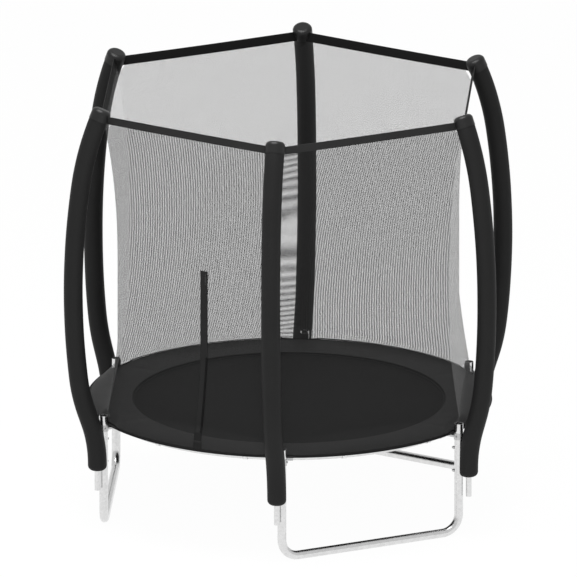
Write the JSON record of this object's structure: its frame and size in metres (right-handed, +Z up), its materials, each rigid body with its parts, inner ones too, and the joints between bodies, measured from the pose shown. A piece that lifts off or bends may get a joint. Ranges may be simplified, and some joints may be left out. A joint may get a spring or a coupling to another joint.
{
  "type": "trampoline",
  "caption": "Round garden trampoline with bowed foam-sleeved poles, a safety net with a zip door, a spring pad and U-shaped legs.",
  "frame": {"origin": "centre of the mat, on the ground", "axes": "+Z up, +Y from the front pole to the back pole, +X to the right"},
  "size_m": [1.8824, 2.1374, 1.8887],
  "materials": {
    "tube": "bright galvanised",
    "hardware": "zinc plated",
    "springs": "zinc plated wire",
    "spacer": "matt",
    "foam": "satin foam skin",
    "cap": "semi-gloss",
    "net": "open knitted net, see-through",
    "webbing": "woven webbing",
    "strap": "woven elastic",
    "elastic": "woven elastic",
    "zip_tape": "woven tape with moulded teeth",
    "zip_metal": "satin",
    "pad": "coated cloth over foam",
    "mat": "tightly woven"
  },
  "bodies": {
    "frame": {"leg_front_right": "tube", "leg_back_right": "tube", "leg_left": "tube", "rail_1": "tube", "rail_2": "tube", "rail_3": "tube", "rail_4": "tube", "rail_5": "tube", "rail_6": "tube", "rail_socket_a": "hardware", "rail_socket_b": "hardware", "rail_socket_c": "hardware", "rail_socket_d": "hardware", "rail_socket_e": "hardware", "rail_socket_f": "hardware", "socket_bolts": "hardware", "pole_lower_a": "tube", "pole_lower_b": "tube", "pole_lower_c": "tube", "pole_lower_d": "tube", "pole_lower_e": "tube", "pole_lower_f": "tube", "pole_upper_a": "tube", "pole_upper_b": "tube", "pole_upper_c": "tube", "pole_upper_d": "tube", "pole_upper_e": "tube", "pole_upper_f": "tube", "pole_spacers": "spacer", "pole_bolts": "hardware", "pole_nuts": "hardware", "foam_a": "foam", "foam_b": "foam", "foam_c": "foam", "foam_d": "foam", "foam_e": "foam", "foam_f": "foam", "cap_a": "cap", "cap_b": "cap", "cap_c": "cap", "cap_d": "cap", "cap_e": "cap", "cap_f": "cap", "net_ab": "net", "net_bc": "net", "net_cd": "net", "net_de": "net", "net_ef": "net", "net_fa": "net", "top_band": "webbing", "net_ties": "strap", "zip_tape": "zip_tape", "pad": "pad", "pad_straps": "elastic", "springs": "springs"},
    "mat": {"mat": "mat", "mat_border": "webbing", "mat_rings": "springs"},
    "slider": {"zip_slider": "zip_metal"},
    "pull": {"zip_pull": "zip_metal"}
  },
  "joints": [
    {"name": "mat_bounce", "type": "slide", "parent": "frame", "child": "mat", "axis": [0, 0, 1], "range_m": [-0.15, 0], "stiffness_N_per_m": 6000, "springref_m": 0.012, "deforming": ["springs"]},
    {"name": "zip_slide", "type": "slide", "parent": "frame", "child": "slider", "axis": [0.0012, 0.002, 1], "range_m": [-0.345, 0]},
    {"name": "zip_pull_swing", "type": "hinge", "parent": "slider", "child": "pull", "pos_m": [-0.32118, -0.6503, 1.20402], "axis": [-0.866, 0.5, 0], "range_deg": [0, 170]}
  ]
}
